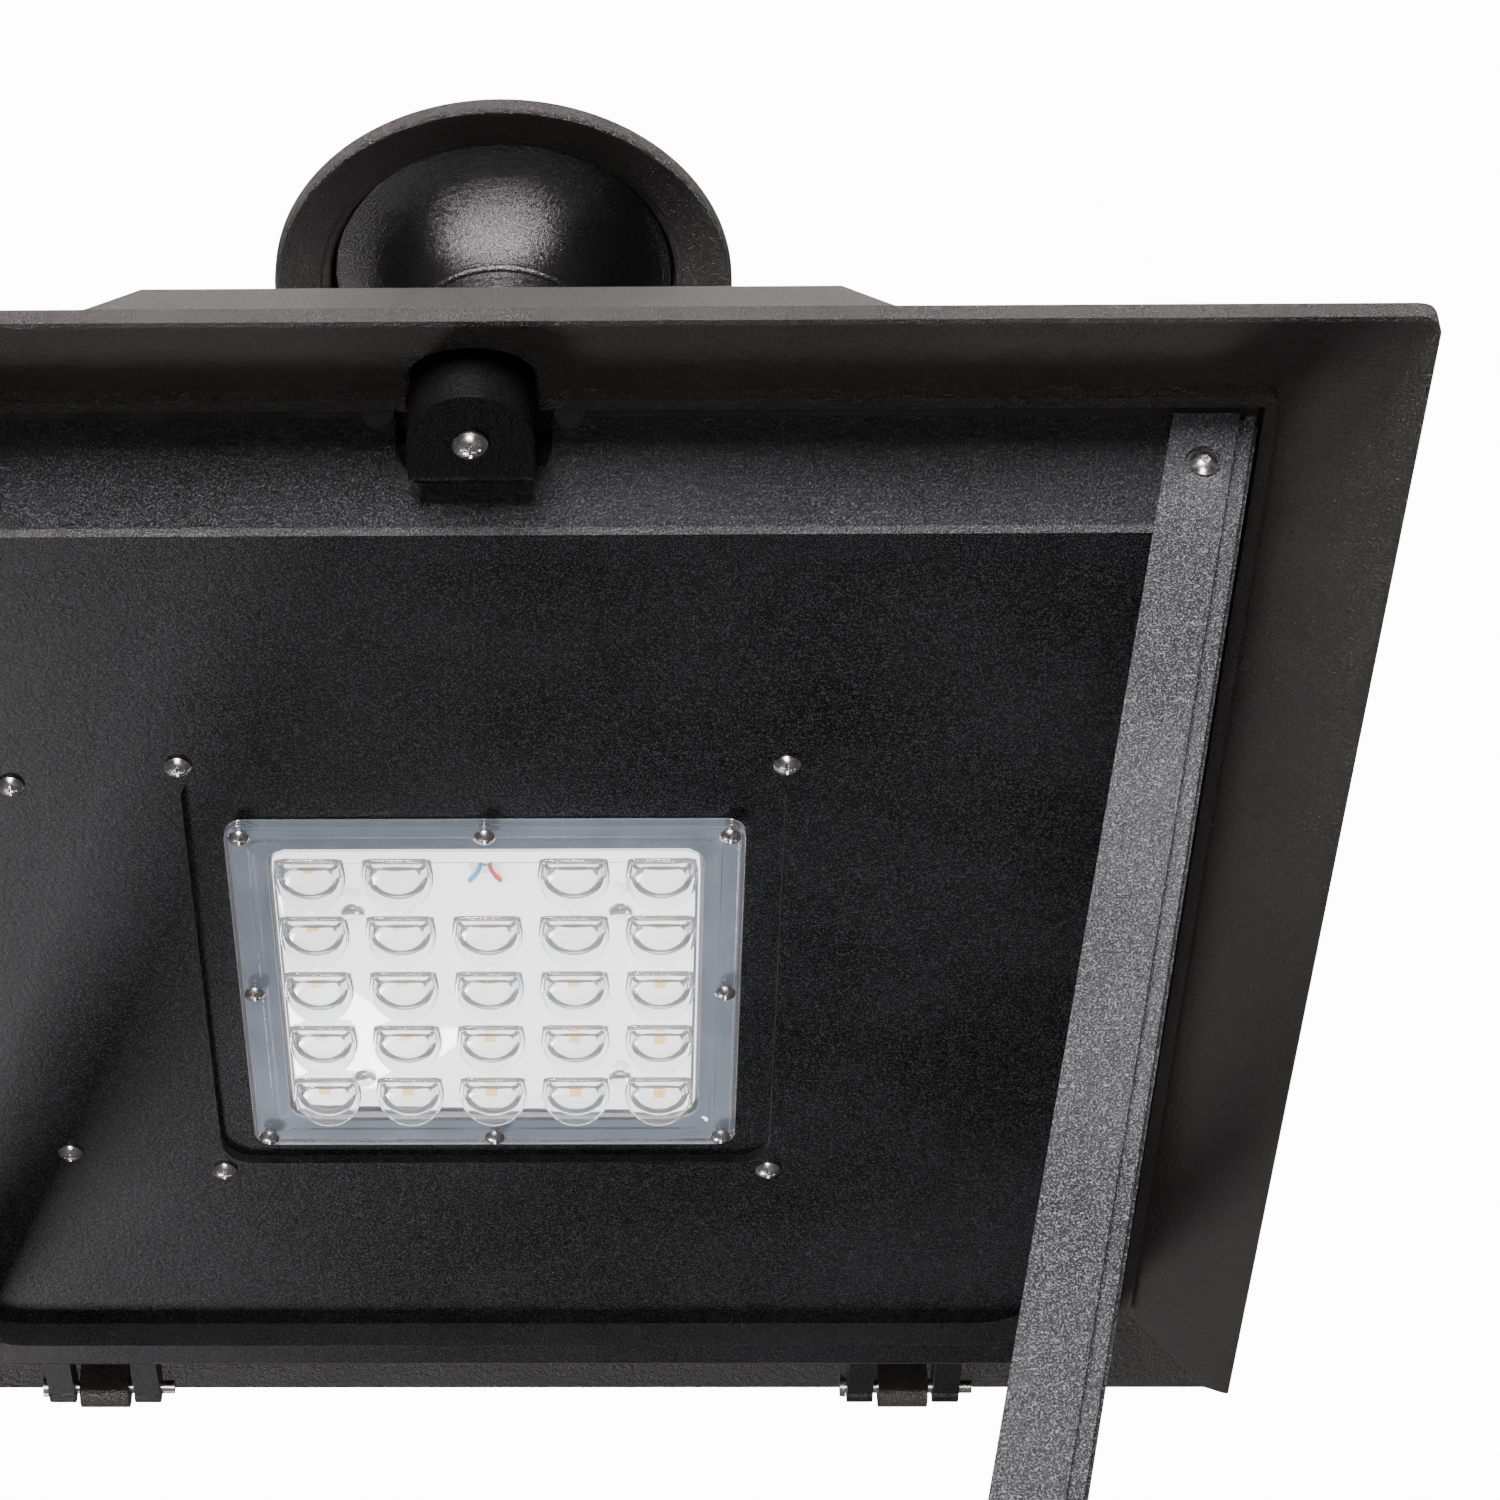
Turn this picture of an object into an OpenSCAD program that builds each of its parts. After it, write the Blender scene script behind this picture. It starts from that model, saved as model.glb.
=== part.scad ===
// Square solar post-top lantern: hinged roof with solar panels, LED tray, four legs and post fitter.
// Units are millimetres. +Z is up, -Y is the latch side, +Y the hinge side.
// The origin is the centre of the fitter's mouth. Heights named h_ are measured from the eave plane.

/* [Overall] */
// Width of the square eaves
roof_w = 430; // [428:1:432]
// Height of the eave plane above the fitter's mouth
eave_z = 460; // [440:5:480]
// How far walls and legs lean inward for each mm of drop
lean = 0.22; // [0.217:0.001:0.222]

/* [Roof] */
// Height of the upright face round the eaves
rim_h = 4.6; // [4:0.1:5]
// Corner radius of the eaves
eave_r = 5.5; // [4:0.5:8]
// Rise of the eaves for each mm inward
eave_rise = 0.4; // [0.39:0.005:0.41]
// Rise of the roof slopes for each mm inward
pitch = 1.8; // [1.78:0.01:1.82]
// Distance from the eave edge to the slopes' line at the eave plane
slope_in = 39.2; // [39:0.1:39.4]
// Height of the flat roof top above the eave plane
top_h = 147; // [145:0.2:148]
// Wall thickness of the roof casting
roof_wall = 5; // [4.8:0.1:5.2]
// Distance from the eave edge to the drip lip
lip_in = 31.2; // [31:0.1:31.3]
// Thickness of the drip lip
lip_t = 3.2; // [3:0.1:3.3]
// Height of the lip's lower edge above the eave plane
lip_h = 3.7; // [3.6:0.1:3.8]
// How much shorter the eave is on the hinge side
rear_trim = 7; // [0:0.5:8]

/* [Light tray] */
// Distance from the eave edge to the tray wall
tray_in = 41.6; // [41.6:0.1:41.8]
// Depth of the tray below the eave plane
tray_drop = 22; // [22:0.1:22.2]
// Width of the rim round the recessed floor
tray_rim = 11.4; // [11:0.1:12]
// Depth of the recessed floor
floor_depth = 7.6; // [7.5:0.1:7.7]
// Corner radius of the recessed floor
floor_r = 22; // [18:1:26]
// Thickness of the floor
floor_t = 3; // [2.9:0.1:3.1]

/* [LED module] */
// Width of the lens plate
lens_w = 130; // [129:0.5:131]
// Depth of the lens plate
lens_d = 130.5; // [130:0.5:131]
// Distance of the light module behind the middle of the tray
module_y = 6.5; // [6:0.1:7]
// Spacing of the lenslets across
pitch_x = 22.1; // [21.9:0.1:22.3]
// Spacing of the lenslets front to back
pitch_y = 22.1; // [21.9:0.1:22.3]
// Radius of one lenslet
lenslet_r = 7.35; // [7:0.05:7.6]

/* [Legs and post fitter] */
// Width of each flange of a leg
leg_w = 19.7; // [19.4:0.1:20]
// Thickness of a leg
leg_t = 5.4; // [5.2:0.1:5.4]
// Bore that takes the post's tenon
bore_d = 77.2; // [77:0.1:77.6]
// Depth of that bore
bore_l = 78; // [74:1:80]

/* [Hinge and latch] */
// Distance of each hinge from the middle
hinge_x = 116.4; // [110:0.2:120]
// Hinge pin diameter
pin_d = 4; // [4:0.1:4.2]
// Radius of the latch ear
ear_r = 14.4; // [14:0.1:14.6]
// Latch screw diameter
latch_d = 4; // [3.9:0.1:4.1]

/* [Hidden] */
$fn = 48;
half = roof_w / 2;
tilt = atan(lean);
gap = 0.1;
far = 500;

// Heights of the tray, from the eave plane
tray_top = 7.5;
tray_bottom = -tray_drop;
floor_low = tray_bottom + floor_depth;
floor_top = floor_low + floor_t;
tray_wall = 4;
pocket_depth = 2.6;
pocket_face = floor_low + pocket_depth;
boss_top = pocket_face + floor_t;

// Light module
module_pocket = [149, 158, 9];
module_pocket_y = 1.5;
opening_w = 110;
gasket_t = 0.8;
lens_t = 2.4;
lens_top = pocket_face - gasket_t;
lens_face = lens_top - lens_t;
plateau_w = 106;
plateau_t = 1.2;
lens_screw_in = 3.9;
board_size = [108, 104];
board_screw_at = 34;
board_t = 1.6;
board_face = lens_top + 1.7;
chip_w = 3;
chip_t = 0.7;
sink_size = [164, 178, 3.5];
fin_h = 22;
fin_t = 1.8;
fin_count = 11;
sink_screw = [74.4, 82];
wire_y = module_y - 2 * pitch_y;

// Screws: thread radius, head radius, head height
m3 = [1.5, 2.7, 1.8];
m4 = [2, 3.4, 2.3];
m6 = [3, 5.2, 3.4];

// Legs, base and fitter
leg_out = half - 36.2;
leg_top = 3;
base_low = 90 - eave_z;
base_h = 20;
base_top = base_low + base_h;
foot_screw_h = base_low + 10;
top_screw_h = -10;
leg_screw_x = leg_out - 10.8;
base_wall = 5;
fitter_h = 90;
fitter_flange_r = 64;
base_screw_r = 53;
cable_bore_r = 30;

// Hinge and latch
hinge_y = half - 28;
hinge_h = -16;
knuckle_r = 4.6;
knuckle_w = 7.5;
lug_r = 6;
lug_w = 14.2;
hinge_gap = 1.6;
latch_y = half - 26.5;
ear_h = -16;
ear_back = half - 37.5;
ear_bridge_h = -8;
ear_top = 4.5;
ear_well = [5.2, -3.6];
insert_r = 3.2;
insert_low = 3.6;
insert_high = 8.4;
retainer = [3.6, 0.8, 2.6];

// Scoop in the tray wall behind the ear
scoop_w = 36;
scoop_r = 5;
scoop_h = -13.6;
scoop_slope = 77;
scoop_back = half - tray_in - 6;
pad_h = 7.6;

// Solar panels, on a slope's own axes: u along the eave, v up the slope
slope_angle = atan(pitch);
slope_len = 1 / sin(slope_angle);
panel_low = 27;
panel_high = 122;
panel_margin = 12;
panel_pocket = 3.6;
seal_t = 0.8;
panel_t = 2.7;

// Neck and cap
waist_r = 28;
waist_h = 234;
neck_foot_r = 54;
neck_flange_r = 60;
neck_flange_t = 4;
neck_top_r = 51;
neck_top_h = 262;
neck_wall = 3;
web_h = 256;
cap_low = 254;
cap_r = 69.5;
cap_band = 5.5;
cap_top = 283;
cap_hole_r = 52.5;

// Battery, controller, cables and connection box
bracket_x = [-140, -116];
bracket_y = 0.8;
bracket_span = 74.6;
pack_w = 38;
pack_l = 131;
pack_x = (bracket_x[0] + bracket_x[1]) / 2;
strap_t = 2;
controller_x = 126;
controller_screw_y = 52;
controller_h = 24;
cable_x = 60;
cable_y = 147;
box_w = 50;

// Half-width of the roof's outer slope, of the tray wall and of the eave's underside at height h
function slope_w(h) = half - slope_in - h / pitch;
function tray_w(h) = half - tray_in + lean * h;
function under_h(inset) = eave_rise * inset - rim_h - 0.6;
inner_off = roof_wall * slope_len;

// Points on an arc, from angle a0 to a1
function arc(cx, cy, r, a0, a1, n) =
    [for (i = [0:n]) let (a = a0 + (a1 - a0) * i / n) [cx + r * cos(a), cy + r * sin(a)]];

// ---- shared shapes ----

// Raises a part drawn from the eave plane to its place above the fitter
module at_eaves() {
    translate([0, 0, eave_z]) children();
}

// Square solid whose half-width follows the points [half-width, height]
module square_taper(points) {
    back = [for (i = [len(points) - 1:-1:0]) [-points[i][0], points[i][1]]];
    intersection() {
        rotate([90, 0, 0]) linear_extrude(2 * far, center = true) polygon(concat(points, back));
        rotate([90, 0, 90]) linear_extrude(2 * far, center = true) polygon(concat(points, back));
    }
}

// Block in the +X +Y quarter whose four sides lean with the legs
module leaning_block(x0, x1, y0, y1, h0, h1) {
    a = lean * h0;
    b = lean * h1;
    intersection() {
        rotate([90, 0, 0]) linear_extrude(2 * far, center = true)
            polygon([[x0 + a, h0], [x1 + a, h0], [x1 + b, h1], [x0 + b, h1]]);
        rotate([90, 0, 90]) linear_extrude(2 * far, center = true)
            polygon([[y0 + a, h0], [y1 + a, h0], [y1 + b, h1], [y0 + b, h1]]);
    }
}

// Rounded rectangle, centred
module rounded(w, d, r) {
    square([w - 2 * r, d], center = true);
    square([w, d - 2 * r], center = true);
    for (x = [-1, 1], y = [-1, 1])
        translate([x * (w / 2 - r), y * (d / 2 - r)]) circle(r);
}

module rounded_plate(w, d, r, low, high) {
    translate([0, 0, low]) linear_extrude(high - low) rounded(w, d, r);
}

// Screw pointing up, with its pan head below the origin
module pan_screw(size, length) {
    head_curve = (pow(size[1], 2) + pow(size[2], 2)) / (2 * size[2]) + 0.6;
    cylinder(r = size[0], h = length);
    difference() {
        intersection() {
            translate([0, 0, -size[2]]) cylinder(r = size[1], h = size[2]);
            translate([0, 0, head_curve - size[2]]) sphere(head_curve);
        }
        for (a = [0, 90]) rotate(a)
            translate([-size[1] * 0.55, -size[0] * 0.16, -size[2] - 1])
                cube([size[1] * 1.1, size[0] * 0.32, 2]);
    }
}

// Socket button-head screw pointing down from the origin
module button_screw(size, length) {
    translate([0, 0, -length]) cylinder(r = size[0], h = length);
    difference() {
        intersection() {
            cylinder(r = size[1], h = size[2]);
            translate([0, 0, size[2] - size[1] * 1.3]) sphere(size[1] * 1.3);
        }
        translate([0, 0, size[2] - 1.4]) cylinder(r = size[0] * 0.62, h = 2, $fn = 6);
    }
}

// Round cable along a list of points
module cable(points, r) {
    for (i = [0:len(points) - 2]) {
        run = points[i + 1] - points[i];
        translate(points[i])
            rotate([0, acos(run[2] / norm(run)), atan2(run[1], run[0])])
                cylinder(r = r, h = norm(run));
    }
    for (i = [1:len(points) - 2]) translate(points[i]) sphere(r + 0.3);
}

// Repeats on both sides of X, of Y, or of both
module both_x() {
    children();
    mirror([1, 0, 0]) children();
}

module four_corners() {
    both_x() {
        children();
        mirror([0, 1, 0]) children();
    }
}

// Puts children on the outside face of a leg at height h, with +Z pointing out of the face
module on_leg_face(h) {
    translate([leg_screw_x + lean * h, -leg_out - lean * h, h]) rotate([90 + tilt, 0, 0]) children();
}

// Puts children on the front slope, with +X along the eave, +Y up the slope and +Z out of it
module on_front_slope() {
    translate([0, -slope_w(0), 0]) rotate([slope_angle, 0, 0]) children();
}

module four_slopes() {
    for (a = [0:90:270]) rotate(a) on_front_slope() children();
}

// ---- post fitter and base ----

module post_fitter() {
    flare = arc(70, 42, 26, 180, 112, 10);
    color("#1b1b1d") difference() {
        rotate_extrude($fn = 96) polygon(concat(
            [[cable_bore_r, bore_l], [bore_d / 2, bore_l], [bore_d / 2, 0], [47, 0], [48.5, 1.5],
             [48.5, 11], [47, 12.5], [44, 14]],
            flare,
            [[fitter_flange_r - 1, 78], [fitter_flange_r, 80], [fitter_flange_r, fitter_h],
             [cable_bore_r, fitter_h]]));
        for (a = [30:120:270]) rotate(a) translate([bore_d / 2 - 2, 0, 26])
            rotate([0, 90, 0]) cylinder(r = 4, h = 20);
        for (a = [0:90:270]) rotate(a) translate([base_screw_r, 0, fitter_h - 11])
            cylinder(r = m6[0], h = 12);
    }
}

module fitter_set_screws() {
    color("silver") for (a = [30:120:270]) rotate(a) translate([bore_d / 2 + 0.4, 0, 26])
        rotate([0, 90, 0]) difference() {
            union() {
                cylinder(r1 = 2.6, r2 = 4, h = 1.4);
                translate([0, 0, 1.4]) cylinder(r = 4, h = 7.6);
            }
            translate([0, 0, 5]) cylinder(r = 2.3, h = 6, $fn = 6);
        }
}

module base_frame() {
    color("#1b1b1d") at_eaves() difference() {
        union() {
            difference() {
                square_taper([[tray_w(base_low), base_low], [tray_w(base_top - 3), base_top - 3],
                              [tray_w(base_top) - 2.4, base_top]]);
                square_taper([[tray_w(base_low) - base_wall, base_low - 1],
                              [tray_w(base_top) - base_wall - 1, base_top - 6]]);
            }
            translate([0, 0, base_low]) cylinder(r = fitter_flange_r, h = base_h - 3, $fn = 96);
            four_corners() on_leg_face(foot_screw_h) translate([0, 0, -14.6])
                cylinder(r = 5, h = 9);
        }
        translate([0, 0, base_low - 1]) cylinder(r = cable_bore_r, h = base_h + 2, $fn = 96);
        for (a = [0:90:270]) rotate(a) translate([base_screw_r, 0, base_low - 1])
            cylinder(r = m6[0] + gap, h = base_h + 2);
        four_corners() on_leg_face(foot_screw_h) translate([0, 0, -15])
            cylinder(r = m4[0], h = 16);
    }
}

module base_screws() {
    color("silver") for (a = [0:90:270]) rotate(a)
        translate([base_screw_r, 0, fitter_h + base_h]) mirror([0, 0, 1])
            pan_screw(m6, base_h + 9);
}

// ---- legs ----

module leg() {
    groove = 1.2;
    bead = 3.3;
    low = base_low;
    back = leg_out - leg_w;
    difference() {
        leaning_block(back, leg_out, back, leg_out, low, leg_top);
        leaning_block(back - 1, leg_out - leg_t, back - 1, leg_out - leg_t, low - 1, leg_top + 1);
        for (side = [0, 1]) mirror([side, -side, 0]) {
            leaning_block(leg_out - bead - groove, leg_out + 1, leg_out - 0.9, leg_out + 1,
                low - 1, leg_top + 1);
            leaning_block(leg_out - bead - groove, leg_out - bead, leg_out - 2.2, leg_out + 1,
                low - 1, leg_top + 1);
        }
        mirror([0, 1, 0]) for (h = [top_screw_h, foot_screw_h]) on_leg_face(h) {
            translate([0, 0, -leg_t - 1]) cylinder(r = m4[0] + gap, h = leg_t + 2);
            translate([0, 0, -1]) cylinder(r = m4[1] + 0.85, h = 3);
        }
    }
}

module leg_front_right() {
    color("#242528") at_eaves() mirror([0, 1, 0]) leg();
}

module leg_front_left() {
    color("#242528") at_eaves() mirror([0, 1, 0]) mirror([1, 0, 0]) leg();
}

module leg_rear_right() {
    color("#242528") at_eaves() leg();
}

module leg_rear_left() {
    color("#242528") at_eaves() mirror([1, 0, 0]) leg();
}

module leg_top_screws() {
    color("silver") at_eaves() four_corners() on_leg_face(top_screw_h) translate([0, 0, -1])
        button_screw(m4, 11);
}

module leg_foot_screws() {
    color("silver") at_eaves() four_corners() on_leg_face(foot_screw_h) translate([0, 0, -1])
        button_screw(m4, 11);
}

// ---- light tray ----

// Space left free under the eaves, for the ear that reaches out below them
module under_eaves(clear) {
    in = 1.5;
    square_taper([[half - in, -40], [half - in, under_h(in) - clear],
                  [half - (tray_top + rim_h + 0.6 + clear) / eave_rise, tray_top]]);
}

// Round-fronted block, grown by extra, from the ear's face up to height high
module ear_block(extra, high) {
    reach = latch_y - ear_back + extra;
    translate([0, -latch_y, ear_h]) linear_extrude(high - ear_h) intersection() {
        union() {
            circle(ear_r + extra, $fn = 96);
            translate([-ear_r - extra, 0]) square([2 * (ear_r + extra), reach]);
        }
        translate([-far, reach - 2 * far]) square(2 * far);
    }
}

module latch_ear() {
    intersection() {
        ear_block(0, ear_top);
        under_eaves(-1.5);
    }
    translate([0.5 - ear_r, -ear_back - 1, ear_bridge_h])
        cube([2 * ear_r - 1, ear_back - scoop_back + 3, ear_top - 0.5 - ear_bridge_h]);
}

module hinge_knuckles() {
    for (side = [-1, 1], end = [-1, 1])
        translate([side * hinge_x + end * (lug_w / 2 + hinge_gap + knuckle_w / 2), 0, hinge_h]) {
            translate([-knuckle_w / 2, hinge_y, 0]) rotate([0, 90, 0])
                cylinder(r = knuckle_r, h = knuckle_w);
            translate([-knuckle_w / 2, hinge_y - 24, -knuckle_r + 0.6])
                cube([knuckle_w, 24, 2 * knuckle_r - 1.2]);
        }
}

module tray_screw_holes() {
    for (x = [-1, 1], y = [-1, 1])
        translate([x * sink_screw[0], module_pocket_y + y * sink_screw[1], floor_low - 5])
            cylinder(r = m4[0] + gap, h = 12);
    for (x = bracket_x, y = [-1, 1])
        translate([x, bracket_y + y * bracket_span, floor_low - 5]) cylinder(r = m4[0] + gap, h = 12);
    for (p = lens_screw_spots()) translate([p[0], p[1], floor_low - 5])
        cylinder(r = m3[0] + gap / 2, h = 12);
}

// Four corners and four middles of the lens rim
function lens_screw_spots() = [for (x = [-1:1], y = [-1:1]) if (abs(x) + abs(y) > 0)
    [x * (lens_w / 2 - lens_screw_in), module_y + y * (lens_d / 2 - lens_screw_in)]];

module tray() {
    floor_w = 2 * (tray_w(tray_bottom) - tray_rim);
    color("#17181a") at_eaves() difference() {
        union() {
            difference() {
                square_taper([[tray_w(tray_bottom) - 2.6, tray_bottom],
                    [tray_w(tray_bottom) - 0.8, tray_bottom + 0.8],
                    [tray_w(tray_bottom), tray_bottom + 2.6], [tray_w(tray_top), tray_top]]);
                square_taper([[tray_w(floor_top) - tray_wall, floor_top],
                    [tray_w(tray_top + 1) - tray_wall, tray_top + 1]]);
                scoop();
            }
            translate([0, module_pocket_y, 0])
                rounded_plate(sink_size[0], sink_size[1], 6, floor_low, boss_top);
            intersection() {
                scoop_wall();
                square_taper([[tray_w(tray_bottom) - 1, tray_bottom], [tray_w(tray_top) - 1, tray_top]]);
            }
            latch_ear();
            hinge_knuckles();
            four_corners() on_leg_face(top_screw_h) translate([0, 0, -leg_t - 9])
                cylinder(r = 5, h = 8);
            for (y = [-1, 1]) translate([controller_x, y * controller_screw_y, floor_top - 1])
                cylinder(r = 4, h = 7);
        }
        rounded_plate(floor_w, floor_w, floor_r, tray_bottom - 1, floor_low);
        translate([0, module_pocket_y, 0]) rounded_plate(module_pocket[0], module_pocket[1],
            module_pocket[2], floor_low - 1, pocket_face);
        at_module() rounded_plate(opening_w, opening_w, 5, floor_low - 1, boss_top + 1);
        tray_screw_holes();
        for (y = [-1, 1]) translate([controller_x, y * controller_screw_y, floor_top + 0.5])
            cylinder(r = m3[0], h = 7);
        four_corners() on_leg_face(top_screw_h) translate([0, 0, -leg_t - 8])
            cylinder(r = m4[0], h = 20);
        translate([0, -latch_y, ear_h - 1]) cylinder(r = latch_d / 2 + 0.3, h = 40);
        translate([0, -latch_y, ear_well[1]]) cylinder(r = ear_well[0], h = 30);
        for (side = [-1, 1]) translate([side * hinge_x - 20, hinge_y, hinge_h])
            rotate([0, 90, 0]) cylinder(r = pin_d / 2 + 0.02, h = 40);
    }
}

// Scoop with rounded lower corners that runs up and back into the front wall
module scoop() {
    reach = 40;
    intersection() {
        translate([0, -tray_w(scoop_h), scoop_h]) rotate([scoop_slope, 0, 0])
            translate([0, reach / 2 - 8, 0]) rotate([90, 0, 0]) linear_extrude(reach, center = true)
                translate([0, reach / 2]) rounded(scoop_w, reach, scoop_r);
        translate([-far, -far - scoop_back, -far]) cube([2 * far, far, 2 * far]);
    }
}

// Wall that closes the back and the ends of the scoop
module scoop_wall() {
    high = tray_top - floor_low;
    translate([-scoop_w / 2 - 3, -scoop_back, floor_low]) cube([scoop_w + 6, 3.5, high]);
    for (x = [-1, 1]) translate([x * (scoop_w / 2 + 2.1) - 1.5, -scoop_back - 3.5, floor_low])
        cube([3, 4, high]);
}

module hinge_pins() {
    run = lug_w + 2 * hinge_gap + 2 * knuckle_w;
    color("silver") at_eaves() for (side = [-1, 1])
        translate([side * hinge_x - run / 2 - 2, hinge_y, hinge_h]) rotate([0, 90, 0]) {
            cylinder(r = pin_d / 2, h = run + 6);
            cylinder(r = pin_d / 2 + 1, h = 1.6);
        }
}

module closing_pads() {
    color("#0d0d0e") at_eaves() both_x()
        translate([22, -tray_w(pad_h) - 0.05, pad_h]) rotate([90 + tilt, 0, 0])
            cylinder(r = 3.6, h = 1.6);
}

module roof_gasket() {
    high = tray_top + 4.9;
    outer = tray_w(tray_top) - 0.2;
    color("#101011") at_eaves() difference() {
        square_taper([[outer, tray_top], [outer, high]]);
        square_taper([[outer - 3.4, tray_top - 1], [outer - 3.4, high + 1]]);
        translate([-scoop_w / 2 - 3, -outer - 1, tray_top - 1]) cube([scoop_w + 6, 5, 12]);
    }
}

// ---- LED module ----

module at_module() {
    translate([0, module_y, 0]) children();
}

// Runs through the lenslets; the front middle place is left for the leads
module each_lenslet() {
    for (i = [-2:2], j = [-2:2]) if (i != 0 || j != -2)
        translate([i * pitch_x, module_y + j * pitch_y, 0]) children();
}

module each_board_screw() {
    for (x = [-1, 1], y = [-1, 1])
        translate([x * board_screw_at, module_y + y * board_screw_at, 0]) children();
}

module led_lens() {
    cap_h = 2.6;
    ball = (pow(lenslet_r, 2) + pow(cap_h, 2)) / (2 * cap_h);
    color("#dfe6ea", 0.45) at_eaves() difference() {
        union() {
            at_module() rounded_plate(lens_w, lens_d, 5, lens_face, lens_top);
            at_module() rounded_plate(plateau_w, plateau_w, 6, lens_face - plateau_t, lens_face);
            each_lenslet() translate([0, 0, lens_face - plateau_t]) {
                translate([0, 0, -1.4]) cylinder(r = lenslet_r, h = 1.4);
                intersection() {
                    translate([0, 0, -1.4 - cap_h]) cylinder(r = lenslet_r, h = cap_h);
                    translate([0, 0, -1.4 - cap_h + ball]) sphere(ball);
                }
            }
            each_board_screw() translate([0, 0, lens_face - plateau_t - 1.6])
                cylinder(r1 = 2.4, r2 = 3.2, h = 1.6);
        }
        for (p = lens_screw_spots()) translate([p[0], p[1], lens_face - 5])
            cylinder(r = m3[0] + gap, h = 12);
        at_module() rounded_plate(plateau_w - 4, plateau_w - 4, 5, lens_top - 0.9, lens_top + 1);
    }
}

module lens_gasket() {
    color("#7d8a93") at_eaves() difference() {
        at_module() rounded_plate(lens_w - 2, lens_d - 2, 4, lens_top, pocket_face);
        at_module() rounded_plate(opening_w, opening_w, 5, lens_top - 1, pocket_face + 1);
        for (p = lens_screw_spots()) translate([p[0], p[1], lens_top - 1])
            cylinder(r = m3[0] + gap, h = 4);
    }
}

module lens_screws() {
    color("silver") at_eaves() for (p = lens_screw_spots()) translate([p[0], p[1], lens_face])
        pan_screw(m3, boss_top - lens_face - 0.4);
}

module led_board() {
    color("white") at_eaves() difference() {
        at_module()
            rounded_plate(board_size[0], board_size[1], 3, board_face, board_face + board_t);
        translate([0, wire_y, board_face - 1]) cylinder(r = 4, h = 4);
        each_board_screw() translate([0, 0, board_face - 1]) cylinder(r = m3[0] + gap, h = 4);
    }
}

module led_chips() {
    color("#e8c860") at_eaves() each_lenslet()
        translate([-chip_w / 2, -chip_w / 2, board_face - chip_t]) cube([chip_w, chip_w, chip_t]);
}

module board_screws() {
    head = [m3[0], 2.4, 1];
    color("silver") at_eaves() each_board_screw() translate([0, 0, board_face]) pan_screw(head, 4.4);
}

module led_heat_sink() {
    color("#b9bcc0") at_eaves() difference() {
        union() {
            translate([0, module_pocket_y, 0]) {
                rounded_plate(sink_size[0] - 2, sink_size[1] - 2, 5, boss_top, boss_top + sink_size[2]);
                for (i = [0:fin_count - 1])
                    translate([(i - (fin_count - 1) / 2) * 13 - fin_t / 2, -64, boss_top + sink_size[2]])
                        cube([fin_t, 128, fin_h]);
            }
            at_module()
                rounded_plate(opening_w - 1, opening_w - 1, 4, board_face + board_t, boss_top);
        }
        translate([0, wire_y, -40]) cylinder(r = 4, h = 80);
        translate([-6, wire_y - 30, boss_top + sink_size[2]]) cube([12, 36, fin_h + 1]);
        each_board_screw() translate([0, 0, board_face]) cylinder(r = m3[0], h = 4.6);
        for (x = [-1, 1], y = [-1, 1])
            translate([x * sink_screw[0], module_pocket_y + y * sink_screw[1], boss_top - 1])
                cylinder(r = m4[0], h = 8);
        for (p = lens_screw_spots()) translate([p[0], p[1], boss_top - 1]) cylinder(r = 2, h = 2);
    }
}

module heat_sink_screws() {
    color("silver") at_eaves() for (x = [-1, 1], y = [-1, 1])
        translate([x * sink_screw[0], module_pocket_y + y * sink_screw[1], floor_low])
            pan_screw(m4, boss_top - floor_low + 3);
}

// ---- battery, controller and cables ----

module battery_pack() {
    color("#1f5f9e") at_eaves() translate([pack_x, bracket_y + pack_l / 2, floor_top + pack_w / 2])
        rotate([90, 0, 0]) linear_extrude(pack_l) rounded(pack_w, pack_w, 9);
}

module battery_bracket() {
    top = floor_top + pack_w;
    run = pack_l / 2 + 0.2;
    foot = bracket_span + 7;
    color("#9a9da1") at_eaves() difference() {
        translate([pack_x - 18, bracket_y, 0]) rotate([90, 0, 90]) linear_extrude(36) polygon([
            [-foot, floor_top], [-run, floor_top], [-run, top + 0.2], [run, top + 0.2],
            [run, floor_top], [foot, floor_top], [foot, floor_top + strap_t],
            [run + strap_t, floor_top + strap_t], [run + strap_t, top + 0.2 + strap_t],
            [-run - strap_t, top + 0.2 + strap_t], [-run - strap_t, floor_top + strap_t],
            [-foot, floor_top + strap_t]]);
        for (x = bracket_x, y = [-1, 1])
            translate([x, bracket_y + y * bracket_span, floor_top - 1]) cylinder(r = m4[0], h = 4);
    }
}

module bracket_screws() {
    color("silver") at_eaves() for (x = bracket_x, y = [-1, 1])
        translate([x, bracket_y + y * bracket_span, floor_low])
            pan_screw(m4, floor_t + strap_t + 1);
}

module charge_controller() {
    ear_low = floor_top + 6;
    color("#222427") at_eaves() difference() {
        union() {
            translate([controller_x, 0, 0]) rounded_plate(50, 92, 4, floor_top, floor_top + controller_h);
            translate([controller_x, 0, 0]) rounded_plate(16, 116, 4, ear_low, ear_low + 2.5);
        }
        for (y = [-1, 1]) translate([controller_x, y * controller_screw_y, ear_low - 1])
            cylinder(r = m3[0] + gap, h = 5);
    }
}

module controller_screws() {
    color("silver") at_eaves() for (y = [-1, 1])
        translate([controller_x, y * controller_screw_y, floor_top + 8.5]) mirror([0, 0, 1])
            pan_screw(m3, 7);
}

module led_cable() {
    h = boss_top + 8;
    color("#1a1a1c") at_eaves()
        cable([[0, wire_y, board_face], [0, wire_y, h], [0, -104, h], [114, -104, h],
               [114, -46.2, h]], 2.2);
}

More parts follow.
